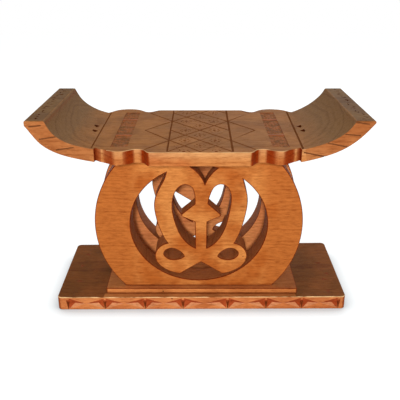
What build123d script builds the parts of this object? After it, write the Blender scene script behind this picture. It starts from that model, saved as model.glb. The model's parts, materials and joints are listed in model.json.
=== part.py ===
from build123d import *
from math import pi, sin
import os

# Ashanti stool: a dished seat on two pierced drum panels, a plinth and a base plate.
# Millimetres. X runs along the seat, Y from front to back, Z up.
# The origin is on the floor, under the middle of the seat's length and midway between the two panels.

# ---------------------------------------------------------------- whole stool
stool_height = 348.0
dish_depth = 46.0

# ----------------------------------------------------------------------- seat
seat_length = 540.0
seat_thickness = 23.0
wing_depth = 252.0
tip_flat = 30.5
tip_end_height = 6.0
dish_flat_length = 300.0
# Each wing was curved by hand: how much higher or lower its top and its underside run than a true copy.
wing_sag = {"right": (2.5, 5.5), "left": (-3.0, -3.0)}
# Long edges: (distance from the middle, how far out past the wings' depth). The front ones differ a little.
front_wave = {"right": [(75.0, 13.0), (88.0, -0.5), (101.0, -5.0), (116.0, 4.0), (128.0, 6.5), (139.0, 0.5),
                        (149.0, -6.0), (158.0, -10.0)],
              "left": [(75.0, 13.0), (88.0, -0.5), (101.0, -5.0), (116.0, 4.5), (131.0, 7.5), (143.0, 1.5),
                       (152.0, -3.0), (165.0, -9.0)]}
rear_wave = [(75.0, 13.0), (88.0, 5.0), (100.0, -2.0), (113.0, 11.0), (128.0, 21.0), (150.0, 20.0),
             (163.0, 7.0), (175.0, -19.0)]
# The wings' rear edges are cut in towards the middle: (share of the way to the tip, how far out).
# Their front edges run straight.
rear_wing = [(0.0, -19.0), (0.16, -15.0), (0.4, -6.0), (0.66, 0.0)]

# ------------------------------------------------------------ base and plinth
base_length = 509.0
base_depth = 211.0
base_thickness = 25.0
base_corner = 8.0
base_edge = 1.5
base_shift = 3.0
# The plate was sawn by eye. Its rear is this much longer at each end, and its right end reaches this
# much less far to the front and further to the rear than its left end.
base_rear_spread = 2.5
base_front_skew = 3.5
base_rear_skew = 10.0
plinth_length = 339.0
plinth_depth = 180.0
plinth_height = 9.5
plinth_corner = 3.0

# --------------------------------------------------------------------- panels
panel_width = 358.0
panel_foot_width = 260.0
panel_top_width = 241.7
panel_thickness = 44.0
heart_thickness = 28.0
panel_gap = 70.0
rear_panel_growth = 3.5
drum_shift = -2.0
belly_height = 118.0
side_rim = 61.0
top_rim = 18.5
bottom_rim = 11.0

# The heart is drawn in an opening of this width and height, and is stretched to fit the real one.
drawn_opening = (236.0, 215.0)
# From lean_start upwards it leans to the right.
heart_lean = 0.09
heart_lean_start = 30.0
cleft_point = (2.5, 74.6)
# Right half of the heart, from the middle of the opening: (sideways, up).
cleft_side = [(9.7, 91.8), (24.0, 105.0)]
heart_lobe_top = [(24.0, 105.0), (32.0, 114.0), (54.0, 106.0), (64.0, 97.0)]
heart_side = [(64.0, 97.0), (68.0, 77.5), (74.4, 61.0), (78.3, 39.7), (76.4, 19.7), (65.7, -19.0),
              (58.3, -34.8)]
heart_curl = [(58.3, -34.8), (69.4, -39.4), (80.3, -55.2), (79.3, -68.0), (61.5, -87.0), (37.0, -94.7)]
heart_point = [(37.0, -94.7), (14.0, -80.0), (0.0, -71.5)]
window_side = [(18.0, 67.5), (36.0, 72.3), (43.5, 65.5), (49.0, 50.0), (48.7, 28.0), (43.5, 3.0),
               (35.6, -18.0), (24.0, -34.0), (10.0, -44.0)]
window_point = (10.0, -44.0)
# Each panel's heart was carved by eye: how far it stands to the right, how much wider its post's neck
# is, what share of its windows' height above the neck's foot is left, above what height its back is
# cut away, how far its left side swells, and, on each side, how far its window swells, how far the arm
# of the cross reaches into that window, and the height of the arm's tip and of its lower root.
front_heart = {"shift": 3.8, "neck": 0.0, "window_top": 1.0, "thin_above": 0.0, "left_swell": 2.4,
               "left": (0.0, 33.5, 18.0, 5.5), "right": (0.0, 33.5, 18.0, 5.5)}
rear_heart = {"shift": -3.0, "neck": 9.0, "window_top": 0.5, "thin_above": -107.5, "left_swell": 7.0,
              "left": (2.0, 46.0, 22.0, -2.0), "right": (4.0, 22.0, 18.0, 10.5)}
arm_tip_height = 4.0
post_half_width = 10.6
window_neck = [(11.4, 39.3), (12.4, 50.0), (18.0, 67.5)]
curl_eye = [(30.0, -60.4), (42.7, -47.3), (57.4, -46.0), (65.0, -55.0), (60.0, -63.0), (46.0, -66.8),
            (30.0, -60.4)]

# --------------------------------------------------------------------- joints
tenon_fit = 0.2
tenon_width = 50.0
tenon_thickness = 18.0
tenon_place = 75.0
end_recess = 1.0
wedge_thick_end = 3.2
wedge_thin_end = 0.8
wedge_length = 24.0
wedge_spacing = 26.0
dowel_diameter = 12.0
dowel_fit = 0.1
dowel_in_seat = 14.0
dowel_in_panel = 20.0
dowel_end_gap = 0.5
dowel_places = [45.0, 85.0]
peg_diameter = 8.0
peg_in_plinth = 6.0
peg_end_inset = 20.0
peg_row = 60.0

# ------------------------------------------------- heights that follow from them
plinth_top = base_thickness + plinth_height
seat_top = stool_height - dish_depth
seat_under = seat_top - seat_thickness
panel_height = seat_under - plinth_top
panel_middle = panel_gap / 2 + panel_thickness / 2
opening_width = panel_width - 2 * side_rim
opening_height = panel_height - top_rim - bottom_rim
opening_middle = plinth_top + bottom_rim + opening_height / 2
wedge_top = end_recess + wedge_length


def mirrored(points):
    """The same points on the left, in the order that closes a loop."""
    return [(-x, y) for x, y in reversed(points)]


def box_between(low, high):
    """A box from its lowest to its highest corner."""
    size = [b - a for a, b in zip(low, high)]
    middle = [(a + b) / 2 for a, b in zip(low, high)]
    return Pos(*middle) * Box(*size)


def upright_cylinder(x, y, bottom, top, diameter):
    """A round bar standing at x, y."""
    return Pos(x, y, (bottom + top) / 2) * Cylinder(diameter / 2, top - bottom)


# ------------------------------------------------------------------------ seat
def wing_curves(side, top_sag, under_sag):
    """The dish curve, the tip and the under curve of one wing; side is 1 on the right, -1 on the left."""
    tip = seat_length / 2
    inner = tip - tip_flat
    flat = dish_flat_length / 2
    run = inner - flat
    start = flat - seat_thickness
    under_run = tip - start
    under_rise = dish_depth + seat_thickness - tip_end_height
    tip_under = stool_height - tip_end_height + 0.5 * under_sag
    top = [(flat, seat_top), (flat + 0.33 * run, seat_top + 0.098 * dish_depth + 0.3 * top_sag),
           (flat + 0.65 * run, seat_top + 0.315 * dish_depth + 0.7 * top_sag),
           (flat + 0.85 * run, seat_top + 0.575 * dish_depth + 0.7 * top_sag), (inner, stool_height)]
    under = [(start, seat_under),
             (start + 0.42 * under_run, seat_under + 0.13 * under_rise + 0.3 * under_sag),
             (start + 0.66 * under_run, seat_under + 0.3 * under_rise + 0.7 * under_sag),
             (start + 0.855 * under_run, seat_under + 0.59 * under_rise + under_sag), (tip, tip_under)]
    end = [(inner, stool_height), (tip, stool_height), (tip, tip_under)]
    top, under, end = [[(side * x, z) for x, z in points] for points in (top, under, end)]
    return [Spline(top, tangents=[(side, 0), (side, 2.2)]), Polyline(end),
            Spline(under, tangents=[(side, 0), (side, 1.2)])]


def seat_profile():
    """Front view of the seat: a slab that curves up to two tips cut off level."""
    flat = dish_flat_length / 2
    start = flat - seat_thickness
    edges = wing_curves(1, *wing_sag["right"]) + wing_curves(-1, *wing_sag["left"])
    edges.append(Line((-flat, seat_top), (flat, seat_top)))
    edges.append(Line((-start, seat_under), (start, seat_under)))
    return make_face(edges)


def outline(points):
    """Points of a long edge as x and y, on the rear side."""
    return [(x, wing_depth / 2 + out) for x, out in points]


def front_edge(side):
    """One half of the front edge, drawn as the rear's right half: bulge, valley, lobe, notch and wing."""
    wave = outline(front_wave[side])
    root = front_wave[side][-1]
    foot = outline([root, (root[0] + 1, 0), (seat_length / 2, 0)])
    straight = Line((0, wave[0][1]), wave[0])
    return [straight, Spline(wave, tangents=[(1, 0), (1, -0.6)]), Polyline(foot)]


def rear_edge():
    """Right half of the rear edge."""
    wave = outline(rear_wave)
    root = rear_wave[-1][0]
    wing = outline([(root + share * (seat_length / 2 - root), out) for share, out in rear_wing])
    straight = Line((0, wave[0][1]), wave[0])
    end = Line(wing[-1], (seat_length / 2, wing_depth / 2))
    return [straight, Spline(wave, tangents=[(1, 0), (1, -1.5)]), Spline(wing), end]


def seat_plan():
    """Top view of the seat."""
    wing = wing_depth / 2
    tip = seat_length / 2
    end = Line((tip, -wing), (tip, wing))
    halves = {side: rear_edge() + [mirror(edge, about=Plane.XZ) for edge in front_edge(side)] + [end]
              for side in ("right", "left")}
    return make_face(halves["right"] + [mirror(edge, about=Plane.YZ) for edge in halves["left"]])


def dowel_spots():
    """Where the seat dowels stand: four along each panel."""
    spots = []
    for y in (-panel_middle, panel_middle):
        for place in dowel_places:
            spots += [(drum_shift - place, y), (drum_shift + place, y)]
    return spots


def seat():
    deepest = wing_depth
    slab = Pos(0, deepest, 0) * extrude(Plane.XZ * seat_profile(), 2 * deepest)
    slab &= extrude(seat_plan(), 2 * stool_height)
    for x, y in dowel_spots():
        hole_top = seat_under + dowel_in_seat + dowel_end_gap
        slab -= upright_cylinder(x, y, seat_under - 1, hole_top, dowel_diameter + 2 * dowel_fit)
    return slab


def seat_dowels():
    bars = []
    bottom = seat_under - dowel_in_panel
    for x, y in dowel_spots():
        bars.append(upright_cylinder(x, y, bottom, seat_under + dowel_in_seat, dowel_diameter))
    return Compound(children=bars)


# ---------------------------------------------------------------------- panels
def on_opening(points, shift):
    """Points of the drawn heart, shifted, leaned and stretched to the real opening."""
    wide = opening_width / drawn_opening[0]
    tall = opening_height / drawn_opening[1]
    placed = []
    for x, up in points:
        leaned = x + shift + heart_lean * max(0, up - heart_lean_start)
        placed.append((leaned * wide, opening_middle + up * tall))
    return placed


def swelled(points, out):
    """The same run, pushed sideways, most of all at its middle."""
    last = len(points) - 1
    return [(x + out * sin(pi * step / last), up) for step, (x, up) in enumerate(points)]


def lowered(points, share):
    """The same run, with what stands above the neck's foot squeezed to a share of its height."""
    foot = window_neck[0][1]
    return [(x, min(up, foot) + share * max(0, up - foot)) for x, up in points]


def both_sides(points, shift, smooth=True):
    """A run of the heart's outline on the right and its twin on the left."""
    runs = []
    for side in (points, mirrored(points)):
        placed = on_opening(side, shift)
        runs.append(Spline(placed) if smooth else Polyline(placed))
    return runs


def cleft(shift):
    """The two curved sides of the cleft in the heart's top."""
    sides = []
    for side in (1, -1):
        points = [cleft_point] + [(side * x + cleft_point[0] / 2, up) for x, up in cleft_side[:1]]
        points += [(side * x, up) for x, up in cleft_side[1:]]
        sides.append(Spline(on_opening(points, shift)))
    return sides


def window(side, carving):
    """The window on one side of the post, with an arm of the cross reaching into it."""
    swell, reach, tip, root = carving[side]
    neck = [(x + carving["neck"], up) for x, up in window_neck[:-1]] + window_neck[-1:]
    post = [window_point, (post_half_width, root), (reach, tip - arm_tip_height / 2),
            (reach, tip + arm_tip_height / 2), neck[0]]
    runs = [(swelled(window_side, swell), True), (post, False), (neck, True)]
    which = ("right", "left").index(side)
    top = carving["window_top"]
    return make_face([both_sides(lowered(points, top), carving["shift"], smooth)[which]
                      for points, smooth in runs])


def heart(carving):
    """The heart with its two windows and its two curl eyes cut out."""
    shift = carving["shift"]
    edges = cleft(shift) + both_sides(heart_lobe_top, shift, smooth=False)
    left_side = swelled(heart_side, carving["left_swell"])
    edges += [both_sides(heart_side, shift)[0], both_sides(left_side, shift)[1]]
    for points in (heart_curl, heart_point):
        edges += both_sides(points, shift)
    face = make_face(edges)
    for side in ("right", "left"):
        face -= window(side, carving)
    for eye in both_sides(curl_eye, shift):
        face -= make_face([eye])
    return face


def drum_outline(growth):
    """Outer shape of a panel: flat foot and top, and a round belly on each side."""
    foot = panel_foot_width / 2 + growth
    top = panel_top_width / 2 + growth
    belly = (panel_width / 2 + growth, plinth_top + belly_height)
    right = ThreePointArc((foot, plinth_top), belly, (top, seat_under))
    left = mirror(right, about=Plane.YZ)
    return make_face([right, left, Line((-foot, plinth_top), (foot, plinth_top)),
                      Line((-top, seat_under), (top, seat_under))])


def wedge(x, y):
    """One hardwood wedge, thick end down, as thick as its tenon."""
    thick = wedge_thick_end / 2
    thin = wedge_thin_end / 2
    side = make_face(Polyline((x - thick, end_recess), (x + thick, end_recess), (x + thin, wedge_top),
                              (x - thin, wedge_top), close=True))
    return Pos(0, y + tenon_thickness / 2, 0) * extrude(Plane.XZ * side, tenon_thickness)


def tenon_middles():
    return [drum_shift - tenon_place, drum_shift + tenon_place]


def wedge_spots(y):
    """Two wedges in each of a panel's two tenons."""
    spots = []
    for middle in tenon_middles():
        spots += [(middle - wedge_spacing / 2, y), (middle + wedge_spacing / 2, y)]
    return spots


def tenon(x, y, clearance, bottom, top):
    half = tenon_width / 2 + clearance
    deep = tenon_thickness / 2 + clearance
    return box_between((x - half, y - deep, bottom), (x + half, y + deep, top))


def panel(middle, growth, carving):
    """A drum panel, its middle plane at y = middle, pierced round a heart, with two foot tenons."""
    back = middle + panel_thickness / 2
    opening = Pos(0, opening_middle) * Ellipse(opening_width / 2, opening_height / 2)
    face = (drum_outline(growth) - opening) + heart(carving)
    board = Pos(0, back, 0) * extrude(Plane.XZ * face, panel_thickness)
    # The heart's upper part is thinned from behind.
    bottom = opening_middle + carving["thin_above"]
    thinned = opening & (Pos(0, bottom + opening_height) * Rectangle(2 * opening_width, 2 * opening_height))
    board -= Pos(0, back, 0) * extrude(Plane.XZ * thinned, panel_thickness - heart_thickness)
    board = Pos(drum_shift, 0, 0) * board
    for x in tenon_middles():
        board += tenon(x, middle, 0, end_recess, plinth_top)
    for x, y in wedge_spots(middle):
        board -= wedge(x, y)
    for x, y in dowel_spots():
        hole_bottom = seat_under - dowel_in_panel - dowel_end_gap
        board -= upright_cylinder(x, y, hole_bottom, seat_under + 1, dowel_diameter + 2 * dowel_fit)
    return board


def tenon_wedges():
    spots = wedge_spots(-panel_middle) + wedge_spots(panel_middle)
    return Compound(children=[wedge(x, y) for x, y in spots])


# ------------------------------------------------------------- plinth and base
def cut_mortises(board):
    for y in (-panel_middle, panel_middle):
        for x in tenon_middles():
            board -= tenon(x, y, tenon_fit, -1, stool_height)
    return board


def peg_spots():
    """Two rows of three pegs that hold the plinth down from below."""
    end = plinth_length / 2 - peg_end_inset
    return [(base_shift + x, y) for y in (-peg_row, peg_row) for x in (-end, 0, end)]


def plinth():
    plan = RectangleRounded(plinth_length, plinth_depth, plinth_corner)
    block = extrude(Pos(base_shift, 0, base_thickness) * plan, plinth_height)
    block = cut_mortises(block)
    for x, y in peg_spots():
        hole_top = base_thickness + peg_in_plinth + dowel_end_gap
        block -= upright_cylinder(x, y, base_thickness - 1, hole_top, peg_diameter + 2 * dowel_fit)
    return block


def plinth_pegs():
    bars = []
    for x, y in peg_spots():
        bars.append(upright_cylinder(x, y, end_recess, base_thickness + peg_in_plinth, peg_diameter))
    return Compound(children=bars)


def base_plate():
    half = base_length / 2
    front = base_depth / 2
    spread = half + base_rear_spread
    corners = [(-half, -front), (half, base_front_skew - front), (spread, front + base_rear_skew),
               (-spread, front)]
    plan = make_face(Polyline(*corners, close=True))
    plan = fillet(plan.vertices(), base_corner)
    plate = extrude(Pos(base_shift, 0) * plan, base_thickness)
    rims = plate.faces().sort_by(Axis.Z)[-1].edges() + plate.faces().sort_by(Axis.Z)[0].edges()
    plate = fillet(rims, base_edge)
    plate = cut_mortises(plate)
    for x, y in peg_spots():
        plate -= upright_cylinder(x, y, -1, base_thickness + 1, peg_diameter + 2 * dowel_fit)
    return plate


def main():
    os.makedirs("parts", exist_ok=True)
    nodes = {
        "seat": seat(),
        "front_panel": panel(-panel_middle, 0, front_heart),
        "rear_panel": panel(panel_middle, rear_panel_growth, rear_heart),
        "plinth": plinth(),
        "base_plate": base_plate(),
        "seat_dowels": seat_dowels(),
        "tenon_wedges": tenon_wedges(),
        "plinth_pegs": plinth_pegs(),
    }
    for name, shape in nodes.items():
        export_step(shape, f"parts/{name}.step")


main()
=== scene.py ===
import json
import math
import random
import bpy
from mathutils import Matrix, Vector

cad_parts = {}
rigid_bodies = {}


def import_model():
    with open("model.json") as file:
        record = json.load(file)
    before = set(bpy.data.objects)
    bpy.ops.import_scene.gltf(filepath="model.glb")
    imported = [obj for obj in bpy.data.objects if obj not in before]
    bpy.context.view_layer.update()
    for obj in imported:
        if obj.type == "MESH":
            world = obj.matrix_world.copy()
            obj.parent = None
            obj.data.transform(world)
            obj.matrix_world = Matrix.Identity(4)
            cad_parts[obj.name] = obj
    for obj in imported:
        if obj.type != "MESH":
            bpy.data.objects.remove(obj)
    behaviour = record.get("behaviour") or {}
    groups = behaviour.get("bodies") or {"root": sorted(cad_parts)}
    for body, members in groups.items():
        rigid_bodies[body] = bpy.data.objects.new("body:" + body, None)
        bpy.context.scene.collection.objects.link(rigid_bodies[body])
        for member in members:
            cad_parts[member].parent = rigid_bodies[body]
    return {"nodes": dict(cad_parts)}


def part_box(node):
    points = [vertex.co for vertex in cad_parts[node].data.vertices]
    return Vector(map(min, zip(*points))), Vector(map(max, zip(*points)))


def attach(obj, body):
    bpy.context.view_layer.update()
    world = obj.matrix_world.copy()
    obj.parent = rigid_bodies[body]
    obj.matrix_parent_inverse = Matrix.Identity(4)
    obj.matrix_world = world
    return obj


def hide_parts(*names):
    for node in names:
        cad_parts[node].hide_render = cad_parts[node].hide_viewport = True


bl_info = {
    "name": "Carved stool",
    "version": (1, 0, 0),
    "blender": (4, 5, 0),
    "location": "3D View > Sidebar > Stool",
    "description": "Cuts the carving of a dished wooden stool into its plain pieces and finishes the wood",
    "category": "Object",
}

import bmesh
import bpy
from bpy.props import FloatProperty, FloatVectorProperty, PointerProperty
from mathutils import Euler, Matrix, Vector

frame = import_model()

# Sizes are metres, angles degrees. X runs along the seat, Y from front to back, Z up.
MM = 0.001
BODY = "root"
SEAT_LOW, SEAT_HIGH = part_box("seat")
BASE_LOW, BASE_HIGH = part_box("base_plate")
PLINTH_LOW, PLINTH_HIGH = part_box("plinth")
# A Mix node that mixes colours, its two colour inputs, and a Map Range node with soft ends.
TINT = {"data_type": "RGBA"}
MIX_A, MIX_B = 6, 7
SMOOTH = {"interpolation_type": "SMOOTHSTEP"}
# Two corners nearer than this are one corner of the CAD solid.
WELD = 0.02 * MM
# Facets of one flat face differ by less than this angle.
FLAT = math.radians(0.6)
CREASE = math.radians(24)
# An edge turns more than this where the wood was cut off square.
CORNER = math.radians(40)
# A broad face has more than this area, in square metres, and the part of its unit normal along the axis
# that it faces is more than this.
BROAD = 1e-4
FACING = 0.55
# The axes X, Y and Z.
SIDE, DEPTH, UP = 0, 1, 2


def linear(code):
    """Linear RGB of an sRGB hex code."""
    parts = [int(code[i:i + 2], 16) / 255 for i in (1, 3, 5)]
    return [c / 12.92 if c <= 0.04045 else ((c + 0.055) / 1.055) ** 2.4 for c in parts]


def colour(name, code, description):
    """A colour that a user may change."""
    return FloatVectorProperty(name=name, description=description, default=linear(code), size=3,
                               min=0, max=1, subtype="COLOR")


def length(name, size, description):
    """A length that a user may change; size is in metres."""
    return FloatProperty(name=name, description=description, default=size, min=0, unit="LENGTH")


# ------------------------------------------------------------------- settings
class WoodSettings(bpy.types.PropertyGroup):
    face: colour("Face", "#D27F3E", "Stained wood on upright faces")
    flush: colour("Flush", "#BE6528", "Where the stain took more deeply")
    end_grain: colour("End grain", "#923408", "Faces across the grain, which drink the stain")
    # Pooled: darker in hollows and where parts meet, partly stain that stayed there, partly painted shade.
    pooled_stain_and_shade: colour("Pooled stain", "#7E2E0C", "Stain that stayed in the hollows")
    # Level faces: duller and greyer, partly dust and handling, partly painted shade from how light falls on
    # them.
    handled: colour("Handled top", "#B3773F", "Level faces, dulled by hands and dust")
    handled_dark: colour("Handled top, dark", "#9C6838", "Patches of older polish on level faces")
    handled_end: colour("Handled slope", "#8A643A", "Level faces that rise to the ends and show end grain")
    worn: colour("Worn edge", "#E9C089", "Edges rubbed back to bare wood")
    # Cut line: darker inside the lines, partly dirt and polish, partly painted shade in the grooves.
    cut: colour("Cut line", "#865230", "Inside the cut lines, where dirt and polish stay")
    chip: colour("Dark chip", "#4E220E", "Inside notches and round knots")
    dot: colour("Punched dot", "#743818", "Inside the punched dots")
    ridge: colour("Ridge", "#C87C50", "Ridges rubbed pale across the chipped bands")
    margin: colour("Margin chip", "#8A4A28", "Faint chips on the base plate's margins")
    # Opening walls: partly stain, partly painted shade where little light reaches.
    recess_stain_and_shade: colour("Recess", "#B26838", "Walls of the pierced openings, stained dark")
    figure: colour("Figure", "#BBA28B", "What rings, pores and fibres darken the stain by, at most")
    ring_width: length("Ring width", 7 * MM, "From one growth ring to the next")
    fibre_width: length("Fibre width", 1.1 * MM, "Width of a streak of fibres, drawn coarse enough to show")
    fibre_length: length("Fibre length", 45 * MM, "Length of a streak of fibres")
    fleck_length: length("Fleck length", 13 * MM, "Length of the flecks where the stain took unevenly")
    fleck_width: length("Fleck width", 4 * MM, "Width of those flecks")
    pore_length: length("Pore length", 11 * MM, "Length of an open pore along the grain")
    pore_width: length("Pore width", 0.8 * MM, "Width of an open pore, drawn coarse enough to show")
    # Pool reach: how far that darkening reaches, partly pooled stain, partly painted shade.
    pool_and_shade_reach: length("Pool reach", 5 * MM, "How wide a hollow may be and still hold stain")


class SeatSettings(bpy.types.PropertyGroup):
    edge: length("Rounding", 1.8 * MM, "Rounding of the seat's edges")
    rubbed: length("Rubbed edge", 17 * MM, "How far down the front the seat is rubbed paler")
    line_width: length("Line width", 3.4 * MM, "Width of a cut line")
    line_depth: length("Line depth", 0.9 * MM, "Depth of a cut line")
    line_end: length("Line end", 3 * MM, "How far from the seat's edge a cut line stops")
    lattice_half: length("Lattice half width", 50 * MM, "From the middle to the line beside the lattice")
    lattice_cell: length("Lattice cell", 62 * MM, "Length of a lattice diamond across the seat")
    lattice_start: FloatProperty(name="Lattice start", description="Where one crossing of the lattice lies",
                                 default=-10 * MM, unit="LENGTH")
    zigzag_reach: length("Zigzag reach", 95 * MM, "How far from the middle the zigzag's points lie")
    dot: length("Dot", 5.5 * MM, "Width of the punched dot in a diamond")
    small_dot: length("Small dot", 3.2 * MM, "Width of the dots in the ring round it")
    dot_ring: length("Dot ring", 8.5 * MM, "Radius of the ring of small dots")
    band_inner: length("Band, inner side", 115 * MM, "Where the chipped band starts")
    band_outer: length("Band, outer side", 142 * MM, "Where the chipped band ends")
    band_depth: length("Band depth", 0.9 * MM, "How far the band is sunk")
    ridge: length("Ridge", 4 * MM, "Width of a ridge left across a band")
    notch: length("Notch", 13 * MM, "Length of the three-cornered notches on the wings")
    notch_depth: length("Notch depth", 3.4 * MM, "Depth of those notches")


class PanelSettings(bpy.types.PropertyGroup):
    edge: length("Rounding", 1.3 * MM, "Rounding of the panels' edges")
    deep_from: length("Deep stain", 105 * MM, "From the middle to where the rims' redder stain starts")
    wall_turn: FloatProperty(name="Wall turn", description="A face turned this far from the front is a wall",
                             default=math.radians(60), subtype="ANGLE")


class BaseSettings(bpy.types.PropertyGroup):
    chip_margin: length("Chip margin", 2.4 * MM, "Plain wood above and below the chips")
    chip_depth: length("Chip depth", 3.2 * MM, "Depth of a three-cornered chip")
    notch_width: length("Notch width", 7 * MM, "Width of the upright notches between the chips")
    top_chip: length("Top chip", 13 * MM, "Size of the small chips on the plate's margins")
    # The strip gets paler level tones than the rest of the top and is sunk by rubbed_depth.
    rubbed: length("Rubbed strip", 12 * MM, "Width of the strip before the plinth, rubbed pale by feet")
    rubbed_depth: length("Rubbed depth", 0.15 * MM, "How far that strip is worn down")
    plinth_edge: length("Plinth rounding", 1.0 * MM, "Rounding of the plinth's edges")


class StageSettings(bpy.types.PropertyGroup):
    floor_size: length("Floor", 8.0, "Side of the floor")
    key_power: FloatProperty(name="Key light", description="Power of the soft light in front", default=30.0,
                             unit="POWER")
    fill_power: FloatProperty(name="Fill light", description="Power of the soft light behind", default=8.0,
                              unit="POWER")
    room_light: FloatProperty(name="Room light", description="Strength of the even light all round",
                              default=0.42)


# ------------------------------------------------------------------ materials
def node(tree, kind, values=None, **settings):
    """Adds a shader node. values are its inputs: constants, outputs, or nodes, whose first output counts."""
    made = tree.nodes.new("ShaderNode" + kind)
    for name, value in settings.items():
        setattr(made, name, value)
    for key, value in (values or {}).items():
        if isinstance(value, bpy.types.Node):
            value = next(output for output in value.outputs if output.enabled)
        if isinstance(value, bpy.types.NodeSocket):
            tree.links.new(value, made.inputs[key])
        else:
            made.inputs[key].default_value = value
    return made


def empty_tree(owner):
    """The node tree of a material or a world, emptied."""
    owner.use_nodes = True
    owner.node_tree.nodes.clear()
    return owner.node_tree


def opaque(rgb):
    """A colour for a socket, which wants four numbers."""
    return [*rgb, 1.0]


def streaks(tree, place, long, wide, detail, roughness=0.5):
    """Noise drawn out along the grain; long and wide are the size of a streak."""
    along = node(tree, "Mapping", {"Vector": place, "Scale": (1 / long, 1 / wide, 1 / wide)})
    return node(tree, "TexNoise", {"Vector": along, "Scale": 1.0, "Detail": detail, "Roughness": roughness})


def growth_rings(tree, wood, place, pith):
    """Rings round the tree's pith, which lies along X: 1 in the dark late wood and 0 in the pale early wood.

    They run level on the front and spread into long arches on top.
    """
    # The rings bend slowly along the board.
    long_way = node(tree, "Mapping", {"Vector": place, "Scale": (0.35, 1, 1)})
    drift = node(tree, "TexNoise", {"Vector": long_way, "Scale": 9.0, "Detail": 2.0})
    bent = node(tree, "VectorMath",
                {0: drift.outputs["Color"], 1: (0, 24 * MM, 24 * MM), 2: place}, operation="MULTIPLY_ADD")
    from_pith = node(tree, "Mapping",
                     {"Vector": bent, "Scale": (0, 1, 1), "Location": (0, -pith[0], -pith[1])})
    radius = node(tree, "VectorMath", {0: from_pith}, operation="LENGTH")
    count = node(tree, "Math", {0: radius, 1: wood.ring_width}, operation="DIVIDE")
    part = node(tree, "Math", {0: count}, operation="FRACT")
    late = node(tree, "MapRange", {"Value": part, "From Min": 0.45, "From Max": 0.97}, **SMOOTH)
    # Each year has its own darkness.
    year = node(tree, "TexNoise", {"W": count, "Scale": 0.43, "Detail": 1.0}, noise_dimensions="1D")
    strong = node(tree, "MapRange", {"Value": year, "From Min": 0.38, "From Max": 0.68, "To Min": 0.1})
    return node(tree, "Math", {0: late, 1: strong}, operation="MULTIPLY")


def side_stain(tree, tones, place, patch, rubbed_between):
    """The stain on upright faces, redder in patches, and rubbed pale towards the upper of two heights."""
    upright = node(tree, "Mix", {0: patch, MIX_A: tones["face"], MIX_B: tones["flush"]}, **TINT)
    if rubbed_between:
        height = node(tree, "SeparateXYZ", {0: place}).outputs["Z"]
        rubbed = node(tree, "MapRange",
                      {"Value": height, "From Min": rubbed_between[0], "From Max": rubbed_between[1],
                       "To Max": 0.3}, **SMOOTH)
        upright = node(tree, "Mix", {0: rubbed, MIX_A: upright, MIX_B: tones["worn"]}, **TINT)
    return upright


def stain(tree, wood, tones, place, level_from, patch_size, deep_from, rubbed_between):
    """The stain's colour, with painted shade, from the way the surface faces and how hollow it lies."""
    patches = node(tree, "TexNoise", {"Vector": place, "Scale": 1 / patch_size, "Detail": 3.0})
    patch = node(tree, "MapRange", {"Value": patches, "From Min": 0.36, "From Max": 0.66}, **SMOOTH)
    if deep_from:
        along_seat = node(tree, "SeparateXYZ", {0: place}).outputs["X"]
        from_middle = node(tree, "Math", {0: along_seat}, operation="ABSOLUTE")
        deep = node(tree, "MapRange",
                    {"Value": from_middle, "From Min": deep_from - 20 * MM, "From Max": deep_from + 20 * MM,
                     "To Max": 0.8}, **SMOOTH)
        patch = node(tree, "Math", {0: patch, 1: deep}, operation="MAXIMUM")

    facing = node(tree, "SeparateXYZ", {0: node(tree, "NewGeometry").outputs["Normal"]})
    sideways = node(tree, "Math", {0: facing.outputs["X"]}, operation="ABSOLUTE")
    # End grain drinks the stain on faces that look along the seat.
    across = node(tree, "MapRange", {"Value": sideways, "From Min": 0.18, "From Max": 0.6}, **SMOOTH)
    sides = node(tree, "Mix",
                 {0: across, MIX_A: side_stain(tree, tones, place, patch, rubbed_between),
                  MIX_B: tones["end_grain"]}, **TINT)
    # Level faces are duller, and the slopes up to the ends more: partly dust from hands, partly painted
    # shade.
    level = node(tree, "Mix", {0: patch, MIX_A: tones["handled"], MIX_B: tones["handled_dark"]}, **TINT)
    rising = node(tree, "MapRange", {"Value": sideways, "From Min": 0.05, "From Max": 0.5}, **SMOOTH)
    level = node(tree, "Mix", {0: rising, MIX_A: level, MIX_B: tones["handled_end"]}, **TINT)
    skyward = node(tree, "MapRange",
                   {"Value": facing.outputs["Z"], "From Min": level_from, "From Max": level_from + 0.2},
                   **SMOOTH)
    stained = node(tree, "Mix", {0: skyward, MIX_A: sides, MIX_B: level}, **TINT)
    # Darker where the surface is hollow or close to another part: partly stain that pooled there, partly
    # painted shade.
    openness = node(tree, "AmbientOcclusion", {"Distance": wood.pool_and_shade_reach}, samples=6)
    hollow = node(tree, "MapRange",
                  {"Value": openness.outputs["AO"], "From Min": 0.85, "From Max": 0.4, "To Max": 0.6},
                  **SMOOTH)
    return node(tree, "Mix", {0: hollow, MIX_A: stained, MIX_B: tones["pooled_stain_and_shade"]}, **TINT)


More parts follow.
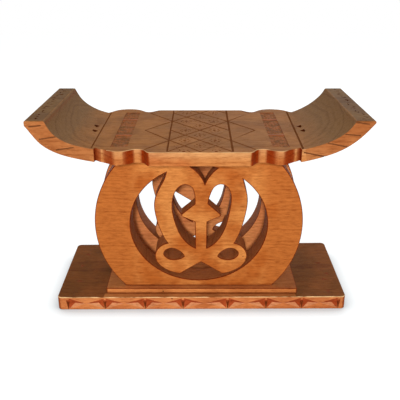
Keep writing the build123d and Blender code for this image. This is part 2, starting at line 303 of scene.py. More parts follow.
def carved_wood(name, wood, tones, pith, wear=0.0, relief=1.0, level_from=0.3, patch_size=60 * MM,
                deep_from=None, polish=0.04, rubbed_between=None):
    """Light open-grained hardwood, cut with adze and gouge, wiped with brown stain and waxed.

    The stain is redder in patches and dark on end grain. Wax gives a soft satin sheen. The level faces,
    which are those whose normal rises more than level_from, are duller and greyer: partly dust from
    handling, partly
    painted shade. Hollows are darker: partly pooled stain, partly painted shade. Beyond deep_from on either
    side the stain is redder all over. Hands have rubbed front faces paler from the lower to the upper of the
    two heights rubbed_between. pith is where the tree's middle lay, as y and z, wear is the most that shows
    of the bare wood, relief makes the tool marks stronger, and polish is the sheen's level.
    """
    material = bpy.data.materials.new(name)
    tree = empty_tree(material)
    place = node(tree, "TexCoord").outputs["Object"]
    ring = growth_rings(tree, wood, place, pith)
    fibre = streaks(tree, place, wood.fibre_length, wood.fibre_width, 3.0, 0.62)
    speck = streaks(tree, place, wood.pore_length, wood.pore_width, 0.0)
    pore = node(tree, "MapRange", {"Value": speck, "From Min": 0.64, "From Max": 0.74})
    fleck = streaks(tree, place, wood.fleck_length, wood.fleck_width, 4.0, 0.7)

    # Rings, pores, fibres and flecks darken whatever tone lies under them.
    figure = node(tree, "Math", {0: ring, 1: 0.32}, operation="MULTIPLY")
    figure = node(tree, "Math", {0: pore, 1: 0.35, 2: figure}, operation="MULTIPLY_ADD")
    for streak, lowest, highest, most in ((fibre, 0.3, 0.72, 0.24), (fleck, 0.42, 0.68, 0.42)):
        dark = node(tree, "MapRange",
                    {"Value": streak, "From Min": lowest, "From Max": highest, "To Max": most})
        figure = node(tree, "Math", {0: figure, 1: dark}, operation="ADD")
    figure.use_clamp = True
    stained = stain(tree, wood, tones, place, level_from, patch_size, deep_from, rubbed_between)
    base = node(tree, "Mix",
                {0: figure, MIX_A: stained, MIX_B: opaque(wood.figure)}, **TINT, blend_type="MULTIPLY")
    if wear:
        rubs = node(tree, "TexNoise", {"Vector": place, "Scale": 45.0, "Detail": 3.0})
        rubbed = node(tree, "MapRange", {"Value": rubs, "From Min": 0.34, "From Max": 0.56, "To Max": wear})
        base = node(tree, "Mix", {0: rubbed, MIX_A: base, MIX_B: tones["worn"]}, **TINT)

    # Wax lies smooth on the fibres and leaves the pores dull; a gouge left shallow facets.
    sheen = node(tree, "MapRange",
                 {"Value": fibre, "From Min": 0.3, "From Max": 0.7, "To Min": 0.5, "To Max": 0.66})
    gouged = node(tree, "Mapping", {"Vector": place, "Scale": (45, 90, 90)})
    facets = node(tree, "TexVoronoi",
                  {"Vector": gouged, "Scale": 1.0, "Smoothness": 0.7}, feature="SMOOTH_F1")
    height = node(tree, "Math", {0: facets, 1: 0.35, 2: fibre}, operation="MULTIPLY_ADD")
    height = node(tree, "Math", {0: pore, 1: -0.8, 2: height}, operation="MULTIPLY_ADD")
    bump = node(tree, "Bump", {"Strength": 0.55, "Distance": 0.35 * MM * relief, "Height": height})
    surface = node(tree, "BsdfPrincipled",
                   {"Base Color": base, "Roughness": sheen, "IOR": 1.5, "Specular IOR Level": polish,
                    "Normal": bump})
    node(tree, "OutputMaterial", {"Surface": surface})
    return material


def wood_tones(wood, **changes):
    """The settings' tones, with some changed to others by hex code."""
    tones = {key: opaque(getattr(wood, key)) for key in
             ("face", "flush", "end_grain", "pooled_stain_and_shade", "handled", "handled_dark", "handled_end", "worn",
              "cut", "chip", "dot", "ridge", "margin", "recess_stain_and_shade")}
    for key, code in changes.items():
        tones[key] = opaque(linear(code))
    return tones


def one_tone(tones, key):
    """Tones for a surface that has one stain all over."""
    return {each: tone if each == "worn" else tones[key] for each, tone in tones.items()}


# ------------------------------------------------------------------ modelling
def alone(piece):
    """Selects one object and makes it active."""
    bpy.ops.object.select_all(action="DESELECT")
    piece.select_set(True)
    bpy.context.view_layer.objects.active = piece


def add_materials(piece, *materials):
    """Gives a piece its material slots, in this order."""
    for material in materials:
        piece.data.materials.append(material)


def copy_of(name, new_name):
    """A merged copy of a CAD node, with its flat faces made whole again."""
    alone(frame["nodes"][name])
    bpy.ops.object.duplicate()
    piece = bpy.context.active_object
    bpy.ops.object.make_single_user(object=True, obdata=True)
    for key in list(piece.keys()):
        del piece[key]
    bpy.ops.object.parent_clear(type="CLEAR_KEEP_TRANSFORM")
    piece.name = piece.data.name = new_name
    piece.data.materials.clear()
    bpy.ops.object.mode_set(mode="EDIT")
    bpy.ops.mesh.select_all(action="SELECT")
    bpy.ops.mesh.remove_doubles(threshold=WELD)
    bpy.ops.mesh.customdata_custom_splitnormals_clear()
    bpy.ops.mesh.dissolve_degenerate(threshold=WELD)
    bpy.ops.mesh.dissolve_limited(angle_limit=FLAT)
    bpy.ops.object.mode_set(mode="OBJECT")
    return piece


def check_closed(piece):
    """Stops if a cut left the piece open or empty."""
    mesh = bmesh.new()
    mesh.from_mesh(piece.data)
    loose = sum(1 for edge in mesh.edges if len(edge.link_faces) != 2)
    faces = len(mesh.faces)
    mesh.free()
    if loose or not faces:
        raise RuntimeError(f"{piece.name} has {faces} faces and {loose} open edges")


def apply(piece, kind, **settings):
    """Adds a modifier and applies it."""
    alone(piece)
    modifier = piece.modifiers.new(kind.title(), kind)
    for name, value in settings.items():
        setattr(modifier, name, value)
    bpy.ops.object.modifier_apply(modifier=modifier.name)


def joined(parts):
    """Several objects as one, with their turns and scales taken into the mesh."""
    bpy.ops.object.select_all(action="DESELECT")
    for part in parts:
        part.select_set(True)
    bpy.context.view_layer.objects.active = parts[0]
    if len(parts) > 1:
        bpy.ops.object.join()
    bpy.ops.object.transform_apply(location=True, rotation=True, scale=True)
    return bpy.context.active_object


def cut(piece, cutters, material):
    """Takes the cutters out of the piece; the new faces get the material."""
    cutter = joined(cutters)
    cutter.data.materials.clear()
    add_materials(cutter, material)
    apply(piece, "BOOLEAN", object=cutter, operation="DIFFERENCE", solver="MANIFOLD",
          material_mode="TRANSFER")
    bpy.data.objects.remove(cutter)
    check_closed(piece)


def outline_runs(mesh, axis, lowest, shortest):
    """The sharp edges round the broad faces that look along an axis, as runs of edges that hang together.

    Faces below lowest and runs under shortest are left out. The runs come in the order of the mesh's
    edges, because the order in which they are rounded changes the faces between them.
    """
    sharp = []
    for edge in mesh.edges:
        along = [face for face in edge.link_faces if abs(face.normal[axis]) > FACING]
        if len(along) == 1 and edge.calc_face_angle() > CORNER and along[0].calc_area() > BROAD:
            if along[0].calc_center_median().z > lowest:
                sharp.append(edge)
    left = set(sharp)
    runs = []
    for first in sharp:
        if first not in left:
            continue
        left.remove(first)
        run = [first]
        for edge in run:
            for other in (other for corner in edge.verts for other in corner.link_edges if other in left):
                left.remove(other)
                run.append(other)
        runs.append(run)
    return [run for run in runs if sum(edge.calc_length() for edge in run) > shortest]


def round_outlines(piece, axis, width, slot, lowest=-1.0, shortest=60 * MM):
    """Rounds the outlines of the broad faces that look along an axis; slot is the rounding's material.

    Each outline is rounded by itself, so that a tight corner narrows no other outline's rounding.
    """
    mesh = bmesh.new()
    mesh.from_mesh(piece.data)
    mark = mesh.edges.layers.int.new("outline")
    runs = outline_runs(mesh, axis, lowest, shortest)
    for number, run in enumerate(runs, 1):
        for edge in run:
            edge[mark] = number
    mesh.to_mesh(piece.data)
    mesh.free()
    alone(piece)
    for number in range(1, len(runs) + 1):
        bpy.ops.object.mode_set(mode="EDIT")
        bpy.ops.mesh.select_mode(type="EDGE")
        bpy.ops.mesh.select_all(action="DESELECT")
        mesh = bmesh.from_edit_mesh(piece.data)
        mark = mesh.edges.layers.int["outline"]
        for edge in mesh.edges:
            edge.select_set(edge[mark] == number)
        bmesh.update_edit_mesh(piece.data)
        bpy.ops.mesh.bevel(offset=width, segments=2, affect="EDGES", clamp_overlap=True, material=slot)
        bpy.ops.object.mode_set(mode="OBJECT")
    apply(piece, "TRIANGULATE", quad_method="BEAUTY", ngon_method="BEAUTY")
    check_closed(piece)


def divide(piece, axis, places):
    """Divides the piece's faces along planes across an axis, so that no face holds many cuts."""
    across = Vector((0, 0, 0))
    across[axis] = 1
    alone(piece)
    bpy.ops.object.mode_set(mode="EDIT")
    for place in places:
        bpy.ops.mesh.select_all(action="SELECT")
        bpy.ops.mesh.bisect(plane_co=across * place, plane_no=across)
    bpy.ops.object.mode_set(mode="OBJECT")
    apply(piece, "TRIANGULATE", quad_method="BEAUTY", ngon_method="BEAUTY")
    check_closed(piece)


def change_slot(piece, old, new, chosen):
    """Gives the chosen ones of the faces with the old material slot the new one."""
    for face in piece.data.polygons:
        if face.material_index == old and chosen(face.center, face.normal):
            face.material_index = new


def surface_at(piece, place, axis=UP, sign=1):
    """The piece's surface on the line through place along an axis, from its plus (1) or minus (-1) side."""
    away = Vector((0, 0, 0))
    away[axis] = sign
    origin = Vector(place)
    origin[axis] = sign
    hit, point, _, _ = piece.ray_cast(origin, -away)
    return point if hit else None


def line_cutter(start, end, width, depth, normal=(0, 0, 1)):
    """A bar on its edge, which leaves a V-shaped line from start to end in a face with this normal."""
    start, end, normal = Vector(start), Vector(end), Vector(normal)
    along = (end - start).normalized()
    inward = (normal - along * along.dot(normal)).normalized()
    turn = Matrix((inward.cross(along), inward, along)).transposed().to_euler()
    bpy.ops.mesh.primitive_cylinder_add(vertices=4, radius=width / 2, depth=(end - start).length,
                                        location=(start + end) / 2, rotation=turn)
    cutter = bpy.context.active_object
    cutter.scale = (1, depth / (width / 2), 1)
    return cutter


def clipped(piece, start, end, margin):
    """The part of a line over the piece's top that keeps this far from its long edges, or nothing."""
    steps = 120
    inside = []
    for step in range(steps + 1):
        place = Vector(start).lerp(Vector(end), step / steps)
        if all(surface_at(piece, (place.x, place.y + shift, 0)) for shift in (-margin, margin)):
            inside.append(place)
    return (inside[0], inside[-1]) if len(inside) > 1 else None


def punch(place, width, depth):
    """A cone, point down and half sunk, which leaves a pit of this width and depth in a level face."""
    bpy.ops.mesh.primitive_cone_add(vertices=6, radius1=width, radius2=0, depth=2 * depth,
                                    location=place, rotation=(math.pi, 0, 0))
    return bpy.context.active_object


def knot_cutter(piece, x, z, width):
    """A cone, half sunk, which leaves the pit of a small dark knot in a front face."""
    at = surface_at(piece, (x, 0, z), DEPTH, -1)
    bpy.ops.mesh.primitive_cone_add(vertices=7, radius1=width, radius2=0, depth=width, location=at,
                                    rotation=(-math.pi / 2, 0, 0))
    return bpy.context.active_object


def box_cutter(middle, size):
    """A box, which leaves a flat tray."""
    bpy.ops.mesh.primitive_cube_add(size=1, location=middle)
    cutter = bpy.context.active_object
    cutter.scale = size
    return cutter


def chip_cutter(place, turn, along, wide, depth):
    """A three-sided pyramid, which leaves a chip; unturned, it points to +Y and its tip goes up.

    place is the surface's point over the chip's deepest one, a third of its length from its wide end.
    """
    # The pyramid is this many times as tall as the chip is deep, so that it stands out of the surface.
    reach = 1.3
    inward = Euler(turn).to_matrix() @ Vector((0, 0, 1))
    bpy.ops.mesh.primitive_cone_add(vertices=3, radius1=reach, radius2=0, depth=reach * depth,
                                    location=Vector(place) + inward * depth * (1 - reach / 2), rotation=turn)
    cutter = bpy.context.active_object
    # At the surface it is a triangle of unit radius, which is the root of 3 wide and 1.5 long.
    cutter.scale = (wide / math.sqrt(3), along / 1.5, 1)
    return cutter


def top_chip(piece, x, y, turn, along, wide, depth):
    """A chip in the piece's top, turned this much."""
    return chip_cutter(surface_at(piece, (x, y, 0)), (math.pi, 0, turn), along, wide, depth)


def finish_piece(piece, node_names):
    """Shades a finished piece and gives it its place in the frame."""
    alone(piece)
    bpy.ops.object.shade_smooth_by_angle(angle=CREASE)
    apply(piece, "WEIGHTED_NORMAL", keep_sharp=True, weight=50)
    check_closed(piece)
    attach(piece, BODY)
    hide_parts(*node_names)


# ----------------------------------------------------------------------- seat
# Planes that divide its faces: axis, and in millimetres their spacing and the first one; their number.
SEAT_PLANES = ((SIDE, 17.3, -259.1, 31), (DEPTH, 19.1, -141.7, 15))
# The front's upper edge is worn this far to each side of the middle, and this far down.
WORN_HALF = 0.145
WORN_DROP = 3 * MM
# From the middle to where the wings' front faces and their level ends start.
WING_START = 166 * MM
WING_LEVEL = 0.2
# The straight lines beside the lattice: side, and width as a share of the line width.
STRAIGHT_LINES = ((-1, 0.8), (1, 1.0))
# Lines across the seat at the wings: ends as x and y, and width as a share of the line width.
CROSS_LINES = (((-170 * MM, -125 * MM), (-170 * MM, 110 * MM), 0.8),
               ((161 * MM, -125 * MM), (167 * MM, 120 * MM), 1.1))
RING_DOTS = 8
# Dots keep this far from the seat's edges.
DOT_MARGIN = 5 * MM
# Nicks on the lattice: number, reach from the middle, least and greatest width in millimetres.
NICKS = 110
NICK_REACH = 0.13
NICK_WIDTH = (1.2, 2.6)
# Where the bands' ridges lie from front to back, and the height of their pale crests.
BAND_RIDGES = (-112 * MM, -40 * MM, 66 * MM, 120 * MM)
CREST = 0.3 * MM
# The bands' chips: how many along and across, least and greatest length, width and depth in millimetres.
BAND_ROWS, BAND_COLUMNS = 38, 5
BAND_CHIP = ((4.5, 7), (3, 5), (0.6, 1.1))
# Three-cornered notches at the foot of each wing, as x and y.
WING_NOTCHES = ((-180.5 * MM, 4.8 * MM), (-178.9 * MM, -25.7 * MM),
                (173.7 * MM, 3 * MM), (175.2 * MM, -26.3 * MM))
# Rough chips on each wing's level end: number, and in millimetres spacing, how far each may stray from
# it, least and greatest distance from the tip, length and width.
ROUGH_CHIPS = 17
ROUGH_SPACE = 14
ROUGH_STRAY = 3
ROUGH_INSET = (9, 17)
ROUGH_CHIP = ((6, 11), (3, 6))
ROUGH_DEPTH = 1.2 * MM
# Lines cut across the wings' front faces, from the upper to the lower edge, as x and z in millimetres.
WING_LINES = (((239, 346), (260, 343)), ((224, 327), (248, 325)), ((198, 313), (229, 307)),
              ((162, 298), (196, 291)), ((-244, 341), (-263, 339)), ((-223, 323), (-249, 319)),
              ((-196, 306), (-224, 302)))
WING_LINE_WIDTH = 2.2 * MM
WING_LINE_DEPTH = 1.1 * MM


def lattice_lines(seat, slope):
    """The lattice's and the zigzag's lines that rise (1) or fall (-1) to the right, as ends in x and y."""
    half = seat.lattice_half
    cell = seat.lattice_cell
    reach = seat.zigzag_reach
    lines = []
    for step in range(-4, 5):
        y = seat.lattice_start + step * cell
        lines.append(((-half, y - slope * cell, 0), (half, y + slope * cell, 0)))
        for side in (-1, 1):
            if step % 2:
                lines.append(((side * half, y, 0), (side * reach, y + side * slope * cell, 0)))
    return lines


def lattice_dots(seat):
    """The middles of the lattice's diamonds, as x and y."""
    quarter = seat.lattice_half / 2
    dots = []
    for step in range(-2, 3):
        y = seat.lattice_start + step * seat.lattice_cell
        dots += [(0, y + seat.lattice_cell / 2), (-quarter, y), (quarter, y)]
    return dots


def band_tones(wood):
    """Tones of the bands' chipped ground, where fresh orange wood shows among the old stain."""
    return wood_tones(wood, handled="#B06836", handled_dark="#825026", face="#B4622C", flush="#7C3C18")


def lines_on_top(piece, lines, width, depth, margin):
    """Cutters for lines over the piece's top, each stopped short of the long edges."""
    cutters = []
    for start, end in lines:
        kept = clipped(piece, start, end, margin)
        if kept:
            ends = [surface_at(piece, place) for place in kept]
            cutters.append(line_cutter(*ends, width, depth))
    return cutters


class STOOL_OT_seat(bpy.types.Operator):
    """Make the dished seat with its cut lines, punched dots, chipped bands and wing ends"""

    bl_idname = "stool.seat"
    bl_label = "Seat"

    def execute(self, context):
        seat = context.scene.stool_seat
        wood = context.scene.stool_wood
        tones = wood_tones(wood, face="#CE864A", flush="#BE6A34")
        wing_tones = wood_tones(wood, face="#BE7A46", flush="#AC6636", handled="#866236",
                                handled_dark="#765430")
        pith = (40 * MM, -60 * MM)
        piece = copy_of("seat", "seat_carved")
        flat_top = surface_at(piece, (0, 0, 0)).z
        add_materials(
            piece,
            carved_wood("Stained_hardwood_seat", wood, tones, pith,
                        rubbed_between=(flat_top - seat.rubbed, flat_top)),
            carved_wood("Worn_edge_seat", wood, tones, pith, wear=0.6),
            carved_wood("Stained_hardwood_wing_ends", wood, wing_tones, pith))
        round_outlines(piece, UP, seat.edge, 1)
        for axis, space, first, count in SEAT_PLANES:
            divide(piece, axis, [(step * space + first) * MM for step in range(count)])
        # Only the front's upper edge is worn. The wings' fronts and level ends have a duller stain.
        change_slot(piece, 1, 0, lambda place, _: place.y >= 0 or abs(place.x) >= WORN_HALF
                    or place.z <= flat_top - WORN_DROP)
        change_slot(piece, 0, 2, lambda place, normal: abs(place.x) > WING_START and abs(normal.y) > 0.5
                    or abs(place.x) > WING_LEVEL and normal.z > 0.97)
        # The cut lines' material is darker: partly dirt, partly painted shade in the grooves.
        line_wood = carved_wood("Cut_line_dirt_and_shade", wood, one_tone(tones, "cut"), pith, polish=0.0)
        chip_wood = carved_wood("Dark_chip", wood, one_tone(tones, "chip"), pith, polish=0.0)
        self.cut_lines(piece, seat, line_wood)
        self.punch_dots(piece, seat,
                        carved_wood("Punched_dot", wood, one_tone(tones, "dot"), pith, polish=0.0))
        self.chip_bands(piece, seat, flat_top,
                        carved_wood("Chipped_ground", wood, band_tones(wood), pith, relief=3.0,
                                    patch_size=9 * MM),
                        carved_wood("Band_ridge", wood, one_tone(tones, "ridge"), pith))
        self.cut_wings(piece, seat, line_wood, chip_wood)
        finish_piece(piece, ["seat"])
        return {"FINISHED"}

    def cut_lines(self, piece, seat, material):
        """The lattice, the zigzags, the straight lines and the lines across at the wings."""
        for slope in (-1, 1):
            cut(piece, lines_on_top(piece, lattice_lines(seat, slope), seat.line_width, seat.line_depth,
                                    seat.line_end), material)
        bars = []
        for side, share in STRAIGHT_LINES:
            x = side * (seat.lattice_half + 0.3 * seat.line_width)
            bars += lines_on_top(piece, [((x, SEAT_LOW.y, 0), (x, SEAT_HIGH.y, 0))],
                                 share * seat.line_width, 1.1 * seat.line_depth, seat.line_end)
        for start, end, share in CROSS_LINES:
            bars += lines_on_top(piece, [((*start, 0), (*end, 0))], share * seat.line_width,
                                 share * 1.3 * seat.line_depth, seat.line_end)
        cut(piece, bars, material)

    def punch_dots(self, piece, seat, material):
        """A dot in each diamond, in a ring of small ones, and nicks strewn between the lines."""
        draw = random.Random(3)
        dots = []
        for x, y in lattice_dots(seat):
            dots.append(((x, y), seat.dot, 1.6 * seat.line_depth))
            for step in range(RING_DOTS):
                turn = math.tau * (step + draw.uniform(-0.2, 0.2)) / RING_DOTS
                place = (x + seat.dot_ring * math.cos(turn), y + seat.dot_ring * math.sin(turn))
                dots.append((place, seat.small_dot * draw.uniform(0.8, 1.1), seat.line_depth))
        for _ in range(NICKS):
            place = (draw.uniform(-1, 1) * seat.lattice_half, draw.uniform(-NICK_REACH, NICK_REACH))
            dots.append((place, draw.uniform(*NICK_WIDTH) * MM, 0.5 * seat.line_depth))
        pits = []
        for place, width, depth in dots:
            spot = (*place, 0)
            between = abs(place[0]) < seat.lattice_half - 2 * seat.line_width
            if between and clipped(piece, spot, spot, DOT_MARGIN):
                pits.append(punch(surface_at(piece, spot), width, depth))
        cut(piece, pits, material)

    def chip_bands(self, piece, seat, top, ground, ridge_wood):
        """A sunk band on each side with ridges left across it, its ground chipped rough."""
        wide = seat.band_outer - seat.band_inner
        trays = []
        crests = []
        for side in (-1, 1):
            middle = side * (seat.band_inner + seat.band_outer) / 2
            for near, far in zip(BAND_RIDGES, BAND_RIDGES[1:]):
                run = far - near - seat.ridge
                trays.append(box_cutter((middle, (near + far) / 2, top), (wide, run, 2 * seat.band_depth)))
            for y in BAND_RIDGES[1:-1]:
                crests.append(box_cutter((middle, y, top), (wide, 1.2 * seat.ridge, CREST)))
        cut(piece, trays, ground)
        cut(piece, crests, ridge_wood)
        draw = random.Random(11)
        span = BAND_RIDGES[-1] - BAND_RIDGES[0]
        # Chips that lie side by side are cut one set after the other.
        chips = [[], []]
        for side in (-1, 1):
            for row in range(BAND_ROWS):
                for column in range(BAND_COLUMNS):
                    across = column + 0.5 + draw.uniform(-0.15, 0.15)
                    along = row + 0.5 + draw.uniform(-0.15, 0.15)
                    x = side * (seat.band_inner + wide * across / BAND_COLUMNS)
                    y = BAND_RIDGES[0] + span * along / BAND_ROWS
                    if min(abs(y - ridge) for ridge in BAND_RIDGES) < 1.4 * seat.ridge:
                        continue
                    turn = (math.pi, 0, draw.uniform(0, math.tau))
                    size = [draw.uniform(*limits) * MM for limits in BAND_CHIP]
                    chips[(row + column) % 2].append(chip_cutter((x, y, top - seat.band_depth), turn, *size))
        for cutters in chips:
            cut(piece, cutters, ground)

    def cut_wings(self, piece, seat, line_wood, chip_wood):
        """Notches and rough chips on the wings' tops, and lines across their front faces."""
        draw = random.Random(5)
        chips = []
        for x, y in WING_NOTCHES:
            chips.append(top_chip(piece, x, y, draw.uniform(-0.2, 0.2), seat.notch, seat.notch,
                                  seat.notch_depth))
        for side in (-1, 1):
            for step in range(ROUGH_CHIPS):
                x = side * (SEAT_HIGH.x - draw.uniform(*ROUGH_INSET) * MM)
                y = (step - ROUGH_CHIPS // 2) * ROUGH_SPACE * MM
                y += draw.uniform(-ROUGH_STRAY, ROUGH_STRAY) * MM
                turn = draw.uniform(0, math.tau)
                size = [draw.uniform(*limits) * MM for limits in ROUGH_CHIP]
                chips.append(top_chip(piece, x, y, turn, *size, ROUGH_DEPTH))
        cut(piece, chips, chip_wood)
        bars = []
        for (near_x, near_z), (far_x, far_z) in WING_LINES:
            middle = ((near_x + far_x) / 2 * MM, 0, (near_z + far_z) / 2 * MM)
            front = surface_at(piece, middle, DEPTH, -1).y
            bars.append(line_cutter((near_x * MM, front, near_z * MM), (far_x * MM, front, far_z * MM),
                                    WING_LINE_WIDTH, WING_LINE_DEPTH, normal=(0, 1, 0)))
        cut(piece, bars, line_wood)


# --------------------------------------------------------------------- panels
# The opening's walls lie within this distance of the panel's middle, more than this above the plinth,
# and below this height.
OPENING_HALF = 120 * MM
OPENING_FOOT = 8 * MM
OPENING_TOP = 262 * MM
# Small dark knots in the front panel's heart, as x and z, and their width.
PANEL_KNOTS = ((75.6 * MM, 92 * MM), (79.5 * MM, 87.5 * MM))
PANEL_KNOT_WIDTH = 1.8 * MM


class STOOL_OT_panels(bpy.types.Operator):
    """Make the two drum panels, pierced round their hearts"""

    bl_idname = "stool.panels"
    bl_label = "Drum panels"

    def execute(self, context):
        settings = context.scene.stool_panel
        wood = context.scene.stool_wood
        rims = {"end_grain": "#A04C1C", "handled": "#B8703C", "handled_dark": "#A86232",
                "handled_end": "#A4582A"}
        # The rear panel's face tones are lighter than the front's: painted light that offsets the shade the
        # front panel and seat cast on it.
        for name, tones in (("front_panel", wood_tones(wood, face="#D88C48", flush="#B86428", **rims)),
                            ("rear_panel", wood_tones(wood, face="#EE9E60", flush="#DC8852", **rims))):
            pith = (-30 * MM, -120 * MM)
            piece = copy_of(name, name + "_carved")
            add_materials(
                piece,
                carved_wood("Stained_hardwood_" + name, wood, tones, pith, deep_from=settings.deep_from),
                # Rounded outlines: the pooled tone, darker partly by stain, partly painted shade.
                carved_wood("Stain_and_shade_edge_" + name, wood, one_tone(tones, "pooled_stain_and_shade"), pith),
                # Opening walls: darker partly by stain, partly painted shade.
                carved_wood("Dark_stain_and_shade_wall_" + name, wood, one_tone(tones, "recess_stain_and_shade"), pith))
            low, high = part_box(name)
            middle_x = (low.x + high.x) / 2
            # Faces of the opening walls get the darker wall material: partly stain, partly painted shade.
            change_slot(piece, 0, 2, lambda place, normal: abs(place.x - middle_x) < OPENING_HALF
                        and PLINTH_HIGH.z + OPENING_FOOT < place.z < OPENING_TOP
                        and abs(normal.y) < math.cos(settings.wall_turn))
            round_outlines(piece, DEPTH, settings.edge, 1, lowest=PLINTH_HIGH.z)
            if name == "front_panel":
                knots = [knot_cutter(piece, x, z, PANEL_KNOT_WIDTH) for x, z in PANEL_KNOTS]
                cut(piece, knots, carved_wood("Dark_knot_panel", wood, one_tone(tones, "chip"), pith))
            finish_piece(piece, [name])
        return {"FINISHED"}


# ----------------------------------------------------------------------- base
# A small dark knot on the plinth's front and one on the plate's, as x and z, and their width.
PLINTH_KNOT = (-65.6 * MM, 28.5 * MM)
PLATE_KNOT = (-49.5 * MM, 22 * MM)
KNOT_WIDTH = 2.5 * MM
# Upright notches along the base plate's long edges, as x.
EDGE_NOTCHES = [x * MM for x in (-233, -168, -97, -30, 49, 117, 180, 245)]
# The plate's faces are divided this far beside each notch, and half way to the next.
NOTCH_SIDE = 0.7 * MM
# Where the chips on either side of that half way are deepest and how long they are, as shares of the
# distance from it to a notch.
CHIP_MIDDLE = 0.64
CHIP_LENGTH = 0.92
# Faint chips on the top near the plate's short ends, as x and y.
MARGIN_CHIPS = [(x * MM, y * MM) for x, y in ((-222, -47), (-228, 12), (-225, 60), (231, 24), (240, -19),
                                              (231, -40), (230, -83))]
MARGIN_CHIP_DEPTH = 1.2 * MM


def lit_and_shaded_chip_tones(wood):
    """Tones of the base plate's chips: painted shade, red, where they face down, and painted light, pale,
    where they face up.
    """
    return wood_tones(wood, face="#B8542A", flush="#A84820", handled="#E49A68", handled_dark="#D88A5C")


class STOOL_OT_base(bpy.types.Operator):
    """Make the base plate with its chip-carved edges, and the plinth on it"""

    bl_idname = "stool.base"
    bl_label = "Base plate and plinth"

    def execute(self, context):
        settings = context.scene.stool_base
        wood = context.scene.stool_wood
        tones = wood_tones(wood, face="#DE8F50", flush="#C87A40", end_grain="#A04C1C", handled="#C47C44",
                           handled_dark="#B06A3A")
        pith = (20 * MM, -90 * MM)
        plinth = copy_of("plinth", "plinth_carved")
        add_materials(plinth, carved_wood("Stained_hardwood_plinth", wood, tones, pith),
                      # Rounded outlines: the pooled tone, darker partly by stain, partly painted shade.
                      carved_wood("Stain_and_shade_edge_plinth", wood, one_tone(tones, "pooled_stain_and_shade"), pith))
        # The mortises' outlines, which are shorter than this, stay sharp.
        round_outlines(plinth, UP, settings.plinth_edge, 1, shortest=300 * MM)
        knots = carved_wood("Dark_knot", wood, one_tone(tones, "chip"), pith)
        cut(plinth, [knot_cutter(plinth, *PLINTH_KNOT, KNOT_WIDTH)], knots)
        finish_piece(plinth, ["plinth"])

        # The plate's level tones are much darker than its fronts: partly stain and dust, partly painted
        # shade under the seat.
        tones = wood_tones(wood, face="#DC8A50", flush="#C87440", end_grain="#A04C1C", handled="#905629",
                           handled_dark="#7A4A20", handled_end="#905629")
        plate = copy_of("base_plate", "base_plate_carved")
        add_materials(plate, carved_wood("Stained_hardwood_base", wood, tones, pith),
                      carved_wood("Worn_edge_base", wood, tones, pith, wear=0.95))
        # The rounding along the front's upper edge is worn.
        change_slot(plate, 0, 1, lambda place, normal: place.z > BASE_HIGH.z - 2 * MM
                    and 0.1 < normal.z < 0.98 and normal.y < -0.1)
        divide(plate, SIDE, [place + NOTCH_SIDE for place in EDGE_NOTCHES])
        divide(plate, SIDE, [(near + far) / 2 for near, far in zip(EDGE_NOTCHES, EDGE_NOTCHES[1:])])
        # A strip before the plinth is sunk a little and given paler level tones than the rest of the top.
        strip = box_cutter((0, (PLINTH_LOW.y + BASE_LOW.y) / 2, BASE_HIGH.z),
                           (PLINTH_HIGH.x - PLINTH_LOW.x, settings.rubbed, 2 * settings.rubbed_depth))
        pale = wood_tones(wood, handled="#C48048", handled_dark="#AC6C3A")
        cut(plate, [strip], carved_wood("Pale_front_strip", wood, pale, pith))
        # Chip facets are painted by the way they face: painted shade where they face down, painted light
        # where they face up.
        for sign, name in ((-1, "Chipped_edge_front"), (1, "Chipped_edge_rear")):
            self.chip_edge(plate, settings, sign,
                           carved_wood(name, wood, lit_and_shaded_chip_tones(wood), pith, level_from=0.06))
        self.chip_margins(plate, settings, carved_wood("Faint_chip", wood, one_tone(tones, "margin"), pith))
        cut(plate, [knot_cutter(plate, *PLATE_KNOT, KNOT_WIDTH)], knots)
        finish_piece(plate, ["base_plate"])
        return {"FINISHED"}

    def chip_edge(self, plate, settings, sign, material):
        """Upright notches along the front (-1) or rear (1) edge, and two chips tip to tip between them."""
        tall = BASE_HIGH.z - 2 * settings.chip_margin
        middle_z = BASE_HIGH.z / 2
        notches = []
        chips = []
        for place in EDGE_NOTCHES:
            at = surface_at(plate, (place, 0, middle_z), DEPTH, sign)
            notches.append(chip_cutter(at, (sign * math.pi / 2, 0, 0), tall, settings.notch_width,
                                       settings.chip_depth))
        for near, far in zip(EDGE_NOTCHES, EDGE_NOTCHES[1:]):
            half = (far - near) / 2
            for side in (-1, 1):
                at = surface_at(plate, ((near + far) / 2 + side * CHIP_MIDDLE * half, 0, middle_z),
                                DEPTH, sign)
                turn = (sign * math.pi / 2, -sign * side * math.pi / 2, 0)
                chips.append(chip_cutter(at, turn, CHIP_LENGTH * half, tall, settings.chip_depth))
        cut(plate, chips, material)
        cut(plate, notches, material)

    def chip_margins(self, plate, settings, material):
        """Small chips on the top near the plate's short ends."""
        draw = random.Random(8)
        chips = []
        for x, y in MARGIN_CHIPS:
            chips.append(top_chip(plate, x, y, draw.uniform(0, math.tau), settings.top_chip,
                                  0.7 * settings.top_chip, MARGIN_CHIP_DEPTH))
        cut(plate, chips, material)


class STOOL_OT_joinery(bpy.types.Operator):
    """Finish the dowels, wedges and pegs, which keep their plain shapes"""

    bl_idname = "stool.joinery"
    bl_label = "Dowels, wedges and pegs"

    def execute(self, context):
        wood = context.scene.stool_wood
        tones = wood_tones(wood, face="#C99A66", flush="#B98450", end_grain="#A06C3C", handled="#C09060",
                           handled_dark="#A87848")
        material = carved_wood("Unstained_hardwood_joinery", wood, tones, (0, -30 * MM))
        for name in ("seat_dowels", "tenon_wedges", "plinth_pegs"):
            part = frame["nodes"][name]
            part.data.materials.clear()
            add_materials(part, material)
        return {"FINISHED"}


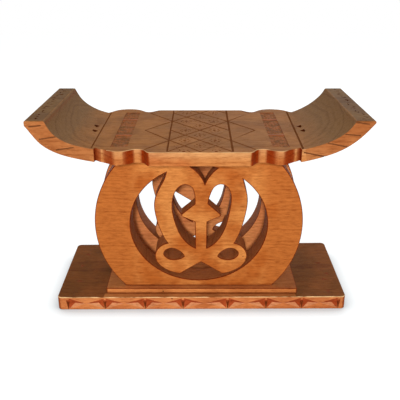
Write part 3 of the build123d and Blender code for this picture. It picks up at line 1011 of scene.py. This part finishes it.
# ---------------------------------------------------------------------- stage
# The lights: name, place and width. They face a point in the middle of the stool.
LIGHTS = (("key", (-0.06, -1.95, 0.95), 0.2), ("fill", (0.5, 1.9, 1.5), 1.4))
LIT_POINT = (0, 0, 0.17)
# The camera's place, how far it looks down in degrees, and its lens and sensor in millimetres.
CAMERA_PLACE = (0, -1.021, 0.578)
CAMERA_DOWN = 21.9
LENS, SENSOR = 54, 36
# The floor lies this far under the stool, and a contact shadow reaches this far from it.
FLOOR_DROP = 0.3 * MM
SHADOW_REACH = 38 * MM


def background_seen(tree, lighting, white):
    """A shader that lights the stool, and that the camera, reflections and glass see as white."""
    path = node(tree, "LightPath")
    seen = path.outputs["Is Camera Ray"]
    for ray in ("Is Glossy Ray", "Is Transmission Ray"):
        seen = node(tree, "Math", {0: seen, 1: path.outputs[ray]}, operation="MAXIMUM")
    return node(tree, "MixShader", {0: seen, 1: lighting, 2: white})


class STOOL_OT_stage(bpy.types.Operator):
    """Set up the floor, the soft lights and the camera"""

    bl_idname = "stool.stage"
    bl_label = "Stage"

    def execute(self, context):
        stage = context.scene.stool_stage
        scene = context.scene
        scene.view_settings.view_transform = "Standard"
        self.light_room(scene, stage)
        self.lay_floor(stage)
        for (name, place, size), power in zip(LIGHTS, (stage.key_power, stage.fill_power)):
            lamp = bpy.data.lights.new(name, "AREA")
            lamp.shape = "DISK"
            lamp.size = size
            lamp.energy = power
            light = bpy.data.objects.new(name, lamp)
            scene.collection.objects.link(light)
            light.location = place
            light.rotation_euler = (Vector(LIT_POINT) - light.location).to_track_quat("-Z", "Y").to_euler()
        lens = bpy.data.cameras.new("camera")
        lens.lens = LENS
        lens.sensor_width = SENSOR
        camera = bpy.data.objects.new("camera", lens)
        scene.collection.objects.link(camera)
        camera.location = CAMERA_PLACE
        camera.rotation_euler = (math.radians(90 - CAMERA_DOWN), 0, 0)
        scene.camera = camera
        return {"FINISHED"}

    def light_room(self, scene, stage):
        """An even light all round."""
        world = bpy.data.worlds.new("Even_room")
        scene.world = world
        tree = empty_tree(world)
        room = node(tree, "Background", {"Color": (1, 1, 1, 1), "Strength": stage.room_light})
        white = node(tree, "Background", {"Color": (1, 1, 1, 1), "Strength": 1.0})
        node(tree, "OutputWorld", {"Surface": background_seen(tree, room, white)})

    def lay_floor(self, stage):
        """A matt white board, which glows to white but for the shadow next to the stool."""
        bpy.ops.object.select_all(action="DESELECT")
        bpy.ops.mesh.primitive_plane_add(size=stage.floor_size, location=(0, 0, -FLOOR_DROP))
        floor = bpy.context.active_object
        floor.name = "studio_floor"
        material = bpy.data.materials.new("Matt_white_board")
        tree = empty_tree(material)
        board = node(tree, "BsdfDiffuse", {"Color": opaque(linear("#E7E7E7"))})
        shadow = node(tree, "BsdfDiffuse", {"Color": opaque(linear("#ACB5B8"))})
        near = node(tree, "AmbientOcclusion", {"Distance": SHADOW_REACH}, samples=16)
        lit = node(tree, "MapRange",
                   {"Value": near.outputs["AO"], "From Min": 0.6, "To Min": 0.35, "To Max": 0.82})
        glow = node(tree, "Emission", {"Color": (1, 1, 1, 1), "Strength": lit})
        pale = node(tree, "AddShader", {0: shadow, 1: glow})
        node(tree, "OutputMaterial", {"Surface": background_seen(tree, board, pale)})
        add_materials(floor, material)


# --------------------------------------------------------------------- add-on
class STOOL_PT_panel(bpy.types.Panel):
    """Lists the stool's settings and the steps that make it"""

    bl_idname = "STOOL_PT_panel"
    bl_label = "Carved stool"
    bl_space_type = "VIEW_3D"
    bl_region_type = "UI"
    bl_category = "Stool"

    def draw(self, context):
        for operator, settings in STEPS:
            self.layout.operator(operator.bl_idname)
            group = getattr(context.scene, settings)
            for key in type(group).__annotations__:
                self.layout.prop(group, key)


# Each step with the settings that it reads; all but the stage read the wood's too.
STEPS = ((STOOL_OT_seat, "stool_seat"), (STOOL_OT_panels, "stool_panel"), (STOOL_OT_base, "stool_base"),
         (STOOL_OT_joinery, "stool_wood"), (STOOL_OT_stage, "stool_stage"))
GROUPS = {"stool_wood": WoodSettings, "stool_seat": SeatSettings, "stool_panel": PanelSettings,
          "stool_base": BaseSettings, "stool_stage": StageSettings}


def register():
    for kind in GROUPS.values():
        bpy.utils.register_class(kind)
    for name, kind in GROUPS.items():
        setattr(bpy.types.Scene, name, PointerProperty(type=kind))
    for operator, _ in STEPS:
        bpy.utils.register_class(operator)
    bpy.utils.register_class(STOOL_PT_panel)


def unregister():
    bpy.utils.unregister_class(STOOL_PT_panel)
    for operator, _ in reversed(STEPS):
        bpy.utils.unregister_class(operator)
    for name in GROUPS:
        delattr(bpy.types.Scene, name)
    for kind in reversed(list(GROUPS.values())):
        bpy.utils.unregister_class(kind)


def main():
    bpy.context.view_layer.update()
    register()
    bpy.ops.stool.seat()
    bpy.ops.stool.panels()
    bpy.ops.stool.base()
    bpy.ops.stool.joinery()
    bpy.ops.stool.stage()


if __name__ == "__main__":
    main()
